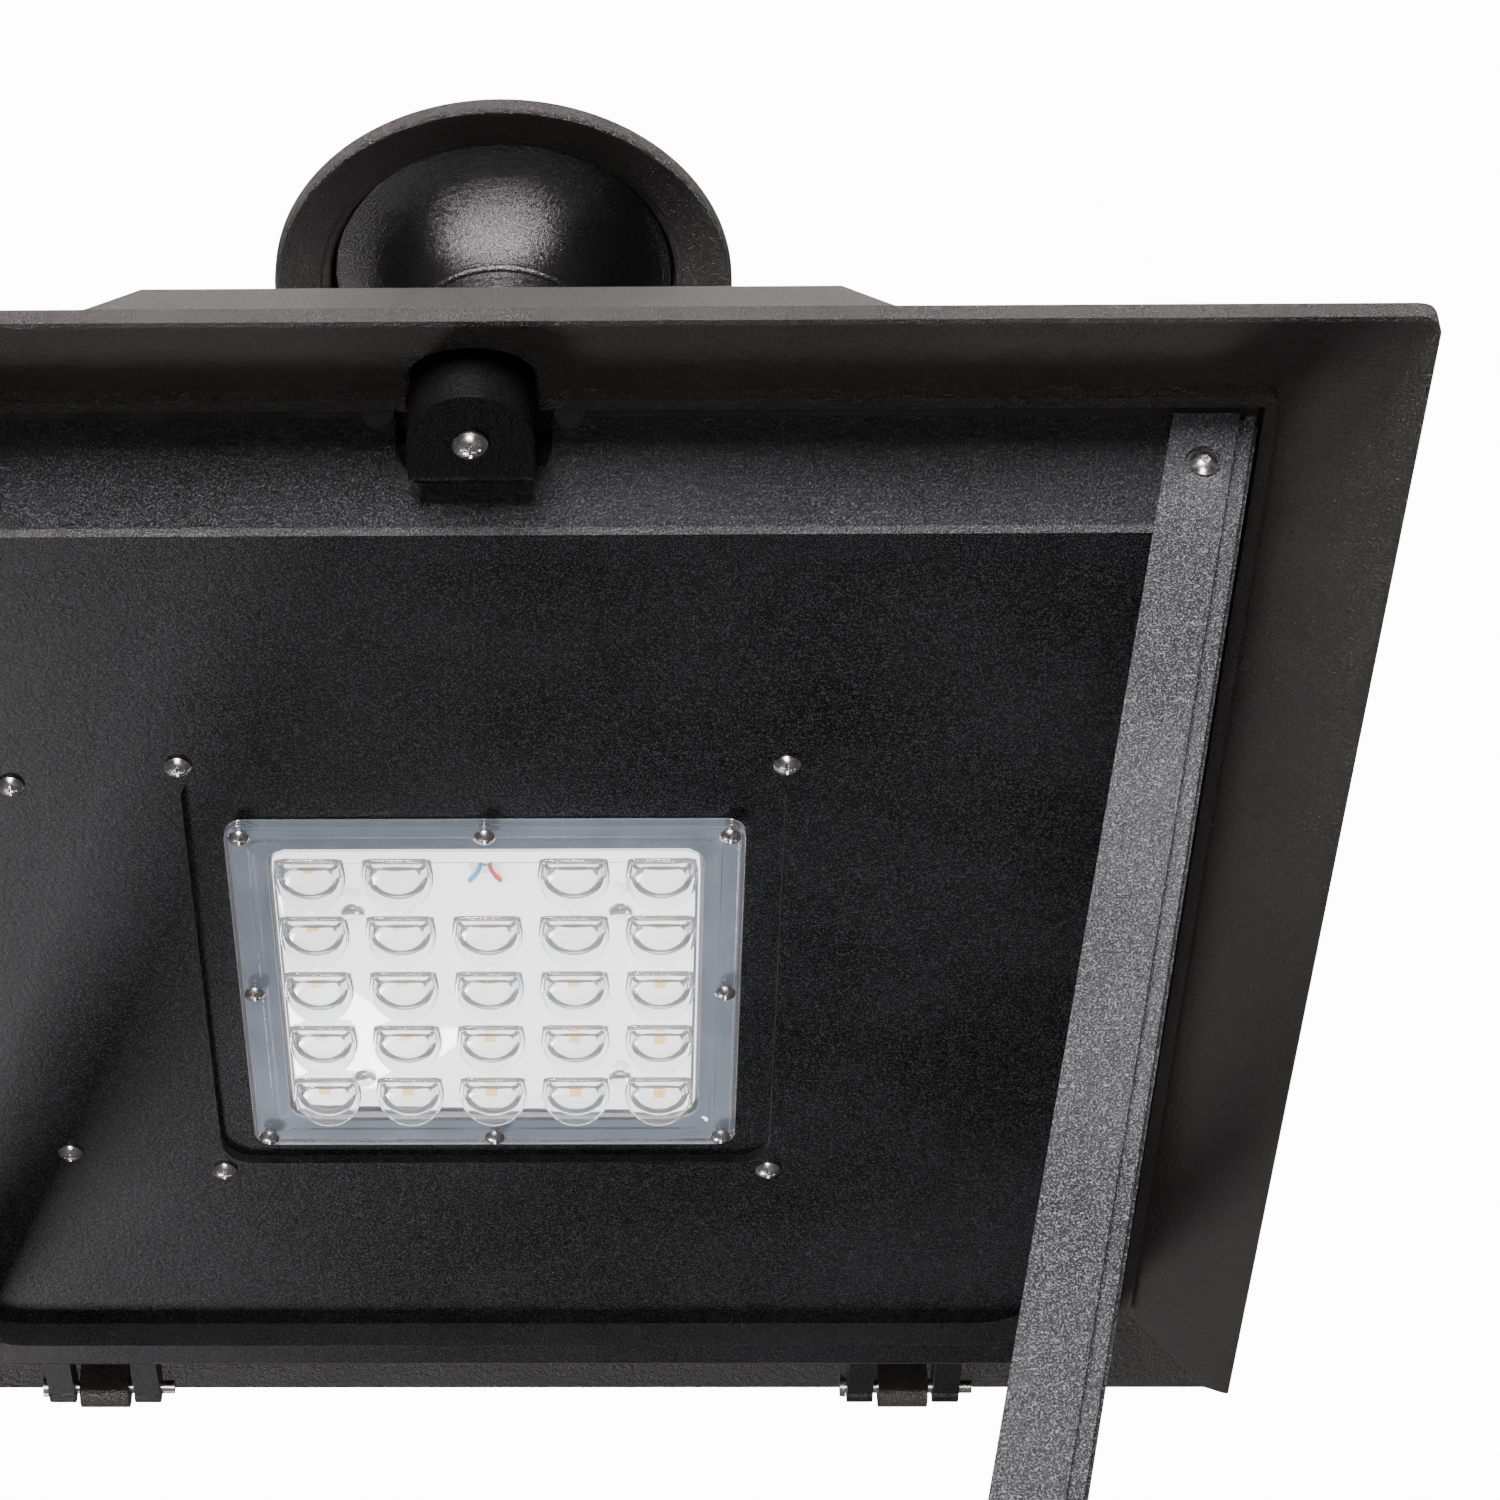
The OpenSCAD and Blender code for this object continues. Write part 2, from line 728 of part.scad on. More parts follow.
module battery_cable() {
    color("#1a1a1c") at_eaves()
        cable([[pack_x + 19.2, -40, 8], [-96, -40, 8], [-96, -116, 8], [130, -116, 8],
               [130, -46.2, 8]], 2.2);
}

module tray_panel_cable() {
    color("#1a1a1c") at_eaves()
        cable([[114, 46.2, 6], [114, cable_y, 6], [cable_x, cable_y, 6], [cable_x, cable_y, 11]], 2.2);
}

// ---- roof ----

// Outline of one solar panel on its slope, grown by edge
module panel_outline(edge) {
    low_w = slope_w(panel_low) - panel_margin + edge;
    high_w = slope_w(panel_high) - panel_margin + edge;
    polygon([[-low_w, panel_low * slope_len - edge], [low_w, panel_low * slope_len - edge],
             [high_w, panel_high * slope_len + edge], [-high_w, panel_high * slope_len + edge]]);
}

module roof_shell() {
    meet = slope_in / (1 - eave_rise / pitch);
    in_h = eave_rise * (lip_in + lip_t) - 3.2;
    inner_meet = (slope_in + inner_off + 3.2 / pitch) / (1 - eave_rise / pitch);
    color("#1e1e20") at_eaves() difference() {
        union() {
            difference() {
                intersection() {
                    square_taper([[half, -rim_h], [half, 0], [half - meet, eave_rise * meet],
                        [slope_w(top_h), top_h]]);
                    rounded_plate(roof_w, roof_w, eave_r, -rim_h - 1, top_h + 1);
                }
                // Sloping underside of the eaves, with the lip left standing
                difference() {
                    intersection() {
                        square_taper([[half - 1.5, -rim_h - 1], [half - 1.5, -rim_h],
                            [half - lip_in, under_h(lip_in)]]);
                        rounded_plate(roof_w - 3, roof_w - 3, eave_r - 1.5, -rim_h - 2, 30);
                    }
                    rounded_plate(2 * (half - lip_in), 2 * (half - lip_in), 3, lip_h, 40);
                }
                square_taper([[half - lip_in - lip_t, -rim_h - 2], [half - lip_in - lip_t, in_h],
                    [half - inner_meet, eave_rise * inner_meet - 3.2],
                    [slope_w(top_h - roof_wall) - inner_off, top_h - roof_wall]]);
                // Notch for the latch ear
                intersection() {
                    ear_block(0.8, 30);
                    under_eaves(-2.2);
                }
                translate([-ear_r - 0.8, -half + lip_in - 1, -rim_h - 1])
                    cube([2 * ear_r + 1.6, lip_t + 2, under_h(lip_in) + rim_h + 1]);
            }
            translate([0, -latch_y, insert_low])
                cylinder(r = ear_well[0] - 0.6, h = insert_high - insert_low);
            for (side = [-1, 1]) translate([side * hinge_x - lug_w / 2, hinge_y, 0]) {
                translate([0, 0, hinge_h]) rotate([0, 90, 0]) cylinder(r = lug_r, h = lug_w);
                translate([0, -lug_r, hinge_h]) cube([lug_w, 2 * lug_r, 5.5 - hinge_h]);
            }
        }
        translate([-far, half - rear_trim, -far]) cube(2 * far);
        four_slopes() translate([0, 0, -panel_pocket]) linear_extrude(10) panel_outline(0.4);
        for (a = [0:90:270]) rotate(a) translate([0, -far / 2, 75]) rotate([90, 0, 0])
            cylinder(r = 4, h = far, center = true);
        for (a = [45:90:315]) rotate(a) translate([50, 0, top_h - roof_wall - 1])
            cylinder(r = m4[0] + gap, h = roof_wall + 2);
        for (x = [-1, 1]) translate([x * 36, 0, top_h - roof_wall - 1]) cylinder(r = m3[0], h = 4.5);
        translate([0, -latch_y, insert_low - 1]) cylinder(r = insert_r, h = insert_high - insert_low + 1);
        for (side = [-1, 1]) translate([side * hinge_x - 20, hinge_y, hinge_h])
            rotate([0, 90, 0]) cylinder(r = pin_d / 2 + 0.06, h = 40);
    }
}

module latch_insert() {
    color("goldenrod") at_eaves() translate([0, -latch_y, insert_low]) difference() {
        cylinder(r = insert_r, h = insert_high - insert_low);
        translate([0, 0, -1]) cylinder(r = latch_d / 2 + 0.7, h = 8);
    }
}

module panel() {
    translate([0, 0, seal_t - panel_pocket]) linear_extrude(panel_t) panel_outline(0);
}

module panel_front() {
    color("#0d1633") at_eaves() on_front_slope() panel();
}

module panel_rear() {
    color("#0d1633") at_eaves() rotate(180) on_front_slope() panel();
}

module panel_right() {
    color("#0d1633") at_eaves() rotate(90) on_front_slope() panel();
}

module panel_left() {
    color("#0d1633") at_eaves() rotate(270) on_front_slope() panel();
}

module panel_seals() {
    color("#0c0c0d") at_eaves() four_slopes() translate([0, 0, -panel_pocket])
        linear_extrude(seal_t) difference() {
            panel_outline(0);
            panel_outline(-8);
        }
}

module panel_leads() {
    start = slope_w(75) - 4.8;
    color("#a02020") at_eaves() for (a = [0:90:270]) rotate(a)
        cable([[0, -start, 75], [0, -40, 75], [0, -40, 131], [0, -box_w / 2 - 0.2, 131]], 1.8);
}

module junction_box() {
    high = top_h - roof_wall;
    color("#26282b") at_eaves() difference() {
        union() {
            rounded_plate(box_w, box_w, 4, high - 20, high);
            rounded_plate(82, 14, 4, high - 3, high);
        }
        for (x = [-1, 1]) translate([x * 36, 0, high - 4]) cylinder(r = m3[0] + gap, h = 5);
    }
}

module junction_screws() {
    color("silver") at_eaves() for (x = [-1, 1])
        translate([x * 36, 0, top_h - roof_wall - 3]) pan_screw(m3, 6);
}

module roof_panel_cable() {
    color("#1a1a1c") at_eaves()
        cable([[box_w / 2 + 0.2, 10, 128], [cable_x, 10, 128], [cable_x, 10, 26], [cable_x, cable_y, 26],
               [cable_x, cable_y, 12]], 2.2);
}

// ---- neck and cap ----

// Outside of the neck, shrunk by t
function neck_outline(t) = let (
    foot = top_h + neck_flange_t,
    drop = waist_h - foot,
    r1 = (pow(neck_foot_r - waist_r, 2) + pow(drop, 2)) / (2 * (neck_foot_r - waist_r)),
    rise = neck_top_h - waist_h,
    r2 = (pow(neck_top_r - waist_r, 2) + pow(rise, 2)) / (2 * (neck_top_r - waist_r)),
    a1 = asin(drop / r1),
    a2 = asin(rise / r2))
    concat(arc(waist_r + r1, waist_h, r1 + t, 180 + a1, 180, 16),
           arc(waist_r + r2, waist_h, r2 + t, 180 - 4, 180 - a2, 14));

module roof_neck() {
    outer = neck_outline(0);
    inner = neck_outline(neck_wall);
    foot = top_h + neck_flange_t;
    back = [for (i = [len(inner) - 1:-1:0]) inner[i]];
    color("#1b1b1d") at_eaves() difference() {
        union() {
            rotate_extrude($fn = 96) polygon(concat(
                [[neck_flange_r, top_h], [neck_flange_r, foot - 1], [neck_flange_r - 1, foot]],
                outer, back, [[neck_foot_r - neck_wall, top_h]]));
            translate([0, 0, web_h - 3]) cylinder(r = 33.5, h = 3, $fn = 96);
            translate([0, 0, waist_h - 2]) rotate_extrude($fn = 96)
                translate([waist_r, 0]) circle(1.4, $fn = 24);
        }
        translate([0, 0, web_h - 4]) cylinder(r = m6[0] + gap, h = 6);
        for (a = [45:90:315]) rotate(a) translate([50, 0, top_h - 1]) cylinder(r = m4[0], h = 4.6);
    }
}

module neck_screws() {
    color("silver") at_eaves() for (a = [45:90:315]) rotate(a)
        translate([50, 0, top_h - roof_wall]) pan_screw(m4, roof_wall + 3.2);
}

module roof_cap() {
    edge = cap_low + cap_band;
    rise = cap_top - edge;
    dome = (pow(cap_r, 2) + pow(rise, 2)) / (2 * rise);
    sweep = asin(cap_r / dome);
    color("#161618") at_eaves() difference() {
        rotate_extrude($fn = 128) polygon(concat(
            arc(0, cap_top - dome, dome, 90 - sweep, 90, 18),
            arc(0, cap_top - dome, dome - 4, 90, 90 - sweep + 4, 16),
            [[cap_hole_r + 1, cap_low + 7], [cap_hole_r, cap_low + 6.2],
             [cap_hole_r, cap_low + 5.2], [cap_hole_r + 1.2, cap_low + 4.2],
             [cap_hole_r + 2.6, cap_low + 4.2], [cap_hole_r + 3.4, cap_low + 3.4],
             [cap_r - 0.8, cap_low], [cap_r, cap_low + 0.8]]));
    }
    color("#161618") at_eaves() difference() {
        translate([0, 0, web_h]) cylinder(r = 9, h = cap_top - 3.8 - web_h);
        translate([0, 0, web_h - 1]) cylinder(r = m6[0], h = 15);
    }
}

module cap_screw() {
    color("silver") at_eaves() translate([0, 0, web_h - 3]) pan_screw(m6, 15);
}

// ---- latch ----

module latch_screw() {
    head = [latch_d / 2, 4.1, 2.6];
    color("silver") at_eaves() translate([0, -latch_y, ear_h]) pan_screw(head, insert_high - ear_h - 0.4);
}

module latch_retainer() {
    color("silver") at_eaves() translate([0, -latch_y, retainer[2]]) difference() {
        cylinder(r = retainer[0], h = retainer[1]);
        translate([0, 0, -1]) cylinder(r = latch_d / 2, h = 3);
    }
}

post_fitter();
fitter_set_screws();
base_frame();
base_screws();
leg_front_right();
leg_front_left();
leg_rear_right();
leg_rear_left();
leg_top_screws();
leg_foot_screws();
tray();
hinge_pins();
closing_pads();
roof_gasket();
led_lens();
lens_gasket();
lens_screws();
led_board();
led_chips();
board_screws();
led_heat_sink();
heat_sink_screws();
battery_pack();
battery_bracket();
bracket_screws();
charge_controller();
controller_screws();
led_cable();
battery_cable();
tray_panel_cable();
roof_shell();
panel_front();
panel_rear();
panel_left();
panel_right();
panel_seals();
panel_leads();
junction_box();
junction_screws();
roof_panel_cable();
roof_neck();
neck_screws();
roof_cap();
cap_screw();
latch_insert();
latch_screw();
latch_retainer();
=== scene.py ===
"""Solar post lantern seen from below: finishes, lens, solar cells and cables for the CAD frame."""

import math

import bmesh
import bpy
from mathutils import Matrix, Vector


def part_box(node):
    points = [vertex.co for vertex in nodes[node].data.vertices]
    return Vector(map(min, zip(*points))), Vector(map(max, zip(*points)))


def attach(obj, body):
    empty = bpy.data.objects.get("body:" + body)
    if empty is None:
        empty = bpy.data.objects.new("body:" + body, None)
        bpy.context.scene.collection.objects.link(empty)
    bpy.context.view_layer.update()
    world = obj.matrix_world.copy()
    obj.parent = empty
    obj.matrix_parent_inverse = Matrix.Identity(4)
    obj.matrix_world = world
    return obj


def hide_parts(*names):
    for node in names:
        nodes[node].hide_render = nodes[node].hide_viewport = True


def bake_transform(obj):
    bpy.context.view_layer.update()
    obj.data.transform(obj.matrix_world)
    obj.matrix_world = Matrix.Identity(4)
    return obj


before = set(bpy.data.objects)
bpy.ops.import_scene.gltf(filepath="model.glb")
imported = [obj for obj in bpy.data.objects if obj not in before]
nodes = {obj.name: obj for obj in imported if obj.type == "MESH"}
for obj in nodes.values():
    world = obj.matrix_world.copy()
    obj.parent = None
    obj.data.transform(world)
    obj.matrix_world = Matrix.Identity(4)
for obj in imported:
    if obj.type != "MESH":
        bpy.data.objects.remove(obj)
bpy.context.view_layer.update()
MM = 0.001
EAVE = 460  # height of the eave plane, mm
LEAD_Y = -37.7  # place of the lead hole in the LED board, mm


# ---- small helpers -------------------------------------------------------------------------------

def centre(name):
    """Middle of a CAD node's box."""
    low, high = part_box(name)
    return (low + high) / 2


def add_object(name, mesh, material, body):
    """Links a mesh as a piece that rides on a body; body None leaves it on no body."""
    obj = bpy.data.objects.new(name, mesh)
    bpy.context.scene.collection.objects.link(obj)
    mesh.materials.append(material)
    if body:
        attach(obj, body)
    return obj


def smooth(mesh, angle=35):
    """Smooth shading with sharp edges kept above the angle."""
    mesh.shade_smooth()
    mesh.set_sharp_from_angle(angle=math.radians(angle))


def to_mesh(name, bm):
    """Finished mesh from a bmesh, with outward normals."""
    bmesh.ops.recalc_face_normals(bm, faces=bm.faces)
    mesh = bpy.data.meshes.new(name)
    bm.to_mesh(mesh)
    bm.free()
    smooth(mesh)
    return mesh


# ---- materials -----------------------------------------------------------------------------------

class Nodes:
    """Short way to build a material's node tree."""

    def __init__(self, name):
        self.material = bpy.data.materials.new(name)
        self.material.use_nodes = True
        self.tree = self.material.node_tree
        self.shader = self.tree.nodes["Principled BSDF"]
        self.place = self.add("ShaderNodeTexCoord").outputs["Object"]

    def add(self, kind, **values):
        made = self.tree.nodes.new(kind)
        for key, value in values.items():
            setattr(made, key, value)
        return made

    def link(self, source, target):
        self.tree.links.new(source, target)

    def fill(self, target, value):
        """Links a socket to the target, or stores a number or colour in it."""
        if isinstance(value, bpy.types.NodeSocket):
            self.link(value, target)
        else:
            target.default_value = value

    def put(self, node, **inputs):
        """Fills a node's inputs by name."""
        for key, value in inputs.items():
            self.fill(node.inputs[key.replace("_", " ")], value)
        return node

    def noise(self, scale, detail=2.0, rough=0.5):
        made = self.put(self.add("ShaderNodeTexNoise"), Vector=self.place, Scale=scale, Detail=detail,
                        Roughness=rough)
        return made.outputs["Fac"]

    def cells(self, scale):
        made = self.put(self.add("ShaderNodeTexVoronoi"), Vector=self.place, Scale=scale)
        return made.outputs["Distance"]

    def ramp(self, value, low, high, start, end):
        """Maps value from low..high to start..end; start and end are numbers."""
        made = self.add("ShaderNodeMapRange")
        self.put(made, Value=value, From_Min=low, From_Max=high, To_Min=start, To_Max=end)
        return made.outputs["Result"]

    def blend(self, factor, first, second):
        """Colour mix; first and second are colours or sockets."""
        made = self.add("ShaderNodeMix", data_type="RGBA")
        self.fill(made.inputs["Factor"], factor)
        self.fill(made.inputs[6], first)
        self.fill(made.inputs[7], second)
        return made.outputs[2]

    def sums(self, kind, first, second):
        """Result of a math node, such as ADD or MAXIMUM, on numbers or sockets."""
        made = self.add("ShaderNodeMath", operation=kind)
        self.fill(made.inputs[0], first)
        self.fill(made.inputs[1], second)
        return made.outputs[0]

    def bump(self, height, strength, distance):
        made = self.put(self.add("ShaderNodeBump"), Height=height, Strength=strength,
                        Distance=distance)
        return made.outputs["Normal"]

    def finish(self, **inputs):
        self.put(self.shader, **inputs)
        return self.material


def grey(value, warm=0.0):
    """Linear colour near a grey; warm above 0 turns it brown and below 0 blue."""
    return (value * (1 + warm), value, value * (1 - warm), 1)


def faces_down(n):
    """1 on level faces that look down, 0 elsewhere."""
    split = n.put(n.add("ShaderNodeSeparateXYZ"),
                  Vector=n.add("ShaderNodeNewGeometry").outputs["True Normal"])
    return n.ramp(split.outputs["Z"], -0.96, -0.99, 0, 1)


EAR_BACK_Y = -176.5 * MM  # the latch ear begins here, just ahead of the tray's front wall
EAR_FADE = 2.5 * MM
LEVEL_PAINTED_SHADE, EAR_PAINTED_SHADE = 0.3, 0.97  # painted shade: how far the colour of level faces that look down and of the latch ear goes to the dark one
CALM_SHINE, CALM_BUMP = 0.9, 0.93  # how much of shine and bump the calm faces lose


def on_ear(n):
    """1 on the latch ear, which stands ahead of the tray's front wall, 0 elsewhere."""
    split = n.put(n.add("ShaderNodeSeparateXYZ"),
                  Vector=n.add("ShaderNodeNewGeometry").outputs["Position"])
    return n.ramp(split.outputs["Y"], EAR_BACK_Y, EAR_BACK_Y - EAR_FADE, 0, 1)


def lessen(n, value, area, share):
    """Takes a share off a value, where area is 1."""
    return n.sums("SUBTRACT", value, n.sums("MULTIPLY", area, share * value))


def powder_coat(name, dark, light, grain, bump, rough, calm=False, shine=0.5):
    """Fine-grained powder coat on cast aluminium: speckle, orange peel and a little dust.
    With calm, the latch ear and level faces that look down get painted shade, a darker colour, and are
    duller and smoother."""
    n = Nodes(name)
    fine = n.noise(grain, 2.0, 0.65)
    broad = n.noise(14, 3.0)
    speckle = n.ramp(fine, 0.5, 0.68, 0, 1)
    colour = n.blend(speckle, dark, light)
    dust_and_painted_shade = n.blend(n.ramp(broad, 0.4, 0.75, 0, 0.2), colour, light)
    peel = n.sums("ADD", fine, n.sums("MULTIPLY", n.noise(grain * 0.3, 1.0), 0.8))
    roughness = n.ramp(fine, 0.35, 0.7, rough - 0.07, rough + 0.09)
    if calm:
        level, ear = faces_down(n), on_ear(n)
        area = n.sums("MAXIMUM", level, ear)
        # Painted shade: level faces that look down and the latch ear are taken towards the dark colour.
        painted_shade = n.sums("MAXIMUM", n.sums("MULTIPLY", level, LEVEL_PAINTED_SHADE),
                        n.sums("MULTIPLY", ear, EAR_PAINTED_SHADE))
        dust_and_painted_shade = n.blend(painted_shade, dust_and_painted_shade, dark)
        shine = lessen(n, shine, area, CALM_SHINE)
        bump = lessen(n, bump, area, CALM_BUMP)
    return n.finish(Base_Color=dust_and_painted_shade, Roughness=roughness, Normal=n.bump(peel, bump, 0.6 * MM),
                    Specular_IOR_Level=shine)


def metal(name, colour, rough, brushed=900):
    n = Nodes(name)
    fine = n.noise(brushed, 3.0)
    tint = n.blend(n.ramp(n.noise(160), 0.35, 0.7, 0, 0.5), colour, grey(colour[1] * 0.72, 0.04))
    return n.finish(Base_Color=tint, Metallic=1.0, Roughness=n.ramp(fine, 0.3, 0.7, rough, rough + 0.14),
                    Normal=n.bump(fine, 0.12, 0.0002))


def plain(name, colour, second, rough, grain=500, bump=0.15, **extra):
    """Plastic, rubber or paint with a slight mottle and a fine surface."""
    n = Nodes(name)
    fine = n.noise(grain, 3.0)
    tint = n.blend(n.ramp(n.noise(60), 0.35, 0.7, 0, 1), colour, second)
    return n.finish(Base_Color=tint, Roughness=n.ramp(fine, 0.3, 0.7, rough - 0.05, rough + 0.08),
                    Normal=n.bump(fine, bump, 0.0002), **extra)


def clear_plastic():
    """Moulded polycarbonate: clear, with faint flow marks, slight roughness and a faint painted glow."""
    n = Nodes("clear_polycarbonate")
    flow = n.noise(45, 2.0)
    # Painted light: a faint glow (LENS_GLOW) brightens the cover.
    n.finish(Base_Color=n.blend(n.ramp(flow, 0.3, 0.7, 0, 1), (1, 1, 1, 1), (0.96, 0.985, 1, 1)),
             Roughness=n.ramp(flow, 0.3, 0.7, 0.015, 0.06), Transmission_Weight=0.96, IOR=1.46,
             Emission_Color=grey(1.0), Emission_Strength=LENS_GLOW,
             Normal=n.bump(flow, 0.06, 0.001))
    # Light passes on to the board below instead of stopping at the cover
    mix = n.add("ShaderNodeMixShader")
    light = n.sums("MULTIPLY", n.add("ShaderNodeLightPath").outputs["Is Shadow Ray"], 0.9)
    n.link(light, mix.inputs[0])
    n.link(n.shader.outputs[0], mix.inputs[1])
    n.link(n.add("ShaderNodeBsdfTransparent").outputs[0], mix.inputs[2])
    n.link(mix.outputs[0], n.tree.nodes["Material Output"].inputs["Surface"])
    return n.material


def stripes(n, axis, pitch, width):
    """1 on thin lines across an axis, one each pitch metres."""
    along = n.put(n.add("ShaderNodeSeparateXYZ"), Vector=n.place).outputs[axis]
    wrapped = n.sums("PINGPONG", along, pitch / 2)
    return n.ramp(wrapped, width / 2, width / 2 + 0.00015, 1, 0)


def solar_glass(name, axis):
    """Dark blue cells under glass, with crystal mottle, silver fingers and gaps between cells."""
    n = Nodes(name)
    crystal = n.cells(85)
    cell = n.blend(n.ramp(crystal, 0.1, 0.7, 0, 1), (0.004, 0.01, 0.045, 1), (0.01, 0.028, 0.095, 1))
    fingers = n.blend(stripes(n, "Z", 0.0021, 0.00022), cell, (0.2, 0.23, 0.3, 1))
    bars = n.blend(stripes(n, axis, 0.013, 0.0009), fingers, (0.5, 0.52, 0.56, 1))
    gaps = n.sums("MAXIMUM", stripes(n, axis, 0.026, 0.0016), stripes(n, "Z", 0.0234, 0.0016))
    colour = n.blend(gaps, bars, (0.006, 0.006, 0.008, 1))
    return n.finish(Base_Color=colour, Roughness=n.ramp(n.noise(30), 0.3, 0.7, 0.12, 0.2),
                    Coat_Weight=1.0, Coat_Roughness=0.04, Normal=n.bump(n.noise(400), 0.05, 0.0003))


# Painted light: a faint glow of their own makes the white, clear and chip parts read as bright as in
# daylight
BOARD_GLOW, NYLON_GLOW, CHIP_GLOW, LENS_GLOW = 1.15, 0.6, 0.8, 0.02

# Painted light: one black powder coat in copies that differ by light; here the brown tint stands in for
# the warm sheen on the eaves and roof.
COAT = powder_coat("powder_coat", grey(0.004, 0.12), grey(0.05, 0.14), 2200, 1.6, 0.36)
# Painted light and shade: the tray copy's brighter, bluish speckle stands in for cool light on its front
# faces, and it paints shade on level faces that look down and on the latch ear.
COAT_TRAY_PAINTED_LIGHT_AND_SHADE = powder_coat("powder_coat_tray_painted_light_and_shade", grey(0.0015, 0.0), grey(0.08, -0.05), 2400, 2.6, 0.36,
                        calm=True)
# Painted light: a lighter, bluish copy of the black powder coat, for the brightly lit legs.
COAT_LEG_PAINTED_LIGHT = powder_coat("powder_coat_leg_painted_light", grey(0.02, -0.04), grey(0.2, -0.05), 2400, 2.6, 0.38)
# Painted shade: a darker copy of the black powder coat, for the shaded neck.
COAT_NECK_PAINTED_SHADE = powder_coat("powder_coat_neck_painted_shade", grey(0.002, 0.02), grey(0.005, 0.02), 2600, 0.5, 0.25,
                        shine=0.5)
STEEL = metal("stainless_steel", (0.66, 0.65, 0.63, 1), 0.16)
ALUMINIUM = metal("raw_aluminium", (0.74, 0.75, 0.77, 1), 0.3, 600)
BRASS = metal("brass", (0.72, 0.5, 0.2, 1), 0.24)
RUBBER = plain("black_rubber", grey(0.008), grey(0.018), 0.75)
GREY_SEAL = plain("grey_seal", (0.14, 0.19, 0.25, 1), (0.2, 0.26, 0.33, 1), 0.5)
# Painted light: the board and the nylon screws glow (BOARD_GLOW, NYLON_GLOW).
WHITE_BOARD = plain("white_solder_mask", grey(0.9), grey(0.94), 0.35, 300, 0.05,
                    Emission_Color=grey(1.0), Emission_Strength=BOARD_GLOW)
WHITE_NYLON = plain("white_nylon", grey(0.86), grey(0.92), 0.4, 300, 0.05,
                    Emission_Color=grey(1.0), Emission_Strength=NYLON_GLOW)
# Painted light: the chips glow orange (CHIP_GLOW).
PHOSPHOR = plain("led_phosphor", (0.9, 0.56, 0.08, 1), (0.95, 0.66, 0.16, 1), 0.5,
                 Emission_Color=(1, 0.5, 0.05, 1), Emission_Strength=CHIP_GLOW)
SLEEVE = plain("battery_sleeve", (0.01, 0.06, 0.2, 1), (0.016, 0.085, 0.27, 1), 0.3, 200, 0.2)
DARK_PLASTIC = plain("dark_plastic", grey(0.012), grey(0.028), 0.42, 1100, 0.4)
SHEATH = plain("cable_sheath", grey(0.01), grey(0.02), 0.45)
RED_WIRE = plain("red_wire", (0.5, 0.02, 0.015, 1), (0.62, 0.04, 0.03, 1), 0.4)
BLUE_WIRE = plain("blue_wire", (0.02, 0.2, 0.5, 1), (0.03, 0.28, 0.6, 1), 0.4)
CLEAR = clear_plastic()
SOLAR_X = solar_glass("solar_cells_front", "X")
SOLAR_Y = solar_glass("solar_cells_side", "Y")

FINISHES = {
    "post_fitter": COAT, "base_frame": COAT, "tray": COAT_TRAY_PAINTED_LIGHT_AND_SHADE, "roof_shell": COAT,
    "roof_neck": COAT_NECK_PAINTED_SHADE, "roof_cap": COAT, "fitter_set_screws": STEEL, "base_screws": STEEL,
    "leg_front_right": COAT_LEG_PAINTED_LIGHT, "leg_front_left": COAT_LEG_PAINTED_LIGHT, "leg_rear_right": COAT_LEG_PAINTED_LIGHT,
    "leg_rear_left": COAT_LEG_PAINTED_LIGHT, "leg_top_screws": STEEL, "leg_foot_screws": STEEL,
    "hinge_pins": STEEL, "closing_pads": RUBBER, "roof_gasket": RUBBER, "led_lens": CLEAR,
    "lens_gasket": GREY_SEAL, "lens_screws": STEEL, "led_board": WHITE_BOARD, "led_chips": PHOSPHOR,
    "board_screws": WHITE_NYLON, "led_heat_sink": ALUMINIUM, "heat_sink_screws": STEEL,
    "battery_pack": SLEEVE, "battery_bracket": ALUMINIUM, "bracket_screws": STEEL,
    "charge_controller": DARK_PLASTIC, "controller_screws": STEEL, "led_cable": SHEATH,
    "battery_cable": SHEATH, "tray_panel_cable": SHEATH, "panel_front": SOLAR_X, "panel_rear": SOLAR_X,
    "panel_left": SOLAR_Y, "panel_right": SOLAR_Y, "panel_seals": RUBBER, "panel_leads": SHEATH,
    "junction_box": DARK_PLASTIC, "junction_screws": STEEL, "roof_panel_cable": SHEATH,
    "neck_screws": STEEL, "cap_screw": STEEL, "latch_insert": BRASS, "latch_screw": STEEL,
    "latch_retainer": STEEL,
}

EDGES = {
    "post_fitter": 0.8, "base_frame": 0.8, "tray": 1.1, "roof_shell": 0.9, "roof_cap": 0.5,
    "leg_front_right": 0.5, "leg_front_left": 0.5, "leg_rear_right": 0.5, "leg_rear_left": 0.5,
    "led_heat_sink": 0.3, "battery_pack": 0.8, "battery_bracket": 0.4, "charge_controller": 0.8,
    "junction_box": 0.8, "led_board": 0.2,
}


def soften(obj, width):
    """Joins the mesh's seams, clears its flat triangles and rounds its edges."""
    weld = obj.modifiers.new("weld", "WELD")
    weld.merge_threshold = 0.00001
    flat = obj.modifiers.new("flat", "DECIMATE")
    flat.decimate_type = "DISSOLVE"
    flat.angle_limit = math.radians(0.6)
    edge = obj.modifiers.new("edge", "BEVEL")
    edge.width = width * MM
    edge.segments = 3
    edge.limit_method = "ANGLE"
    edge.angle_limit = math.radians(32)
    edge.harden_normals = False
    edge.use_clamp_overlap = True
    normals = obj.modifiers.new("normals", "WEIGHTED_NORMAL")
    normals.keep_sharp = True


def finish_cad():
    for name, obj in nodes.items():
        obj.data.materials.clear()
        obj.data.materials.append(FINISHES[name])
        if name in EDGES:
            soften(obj, EDGES[name])


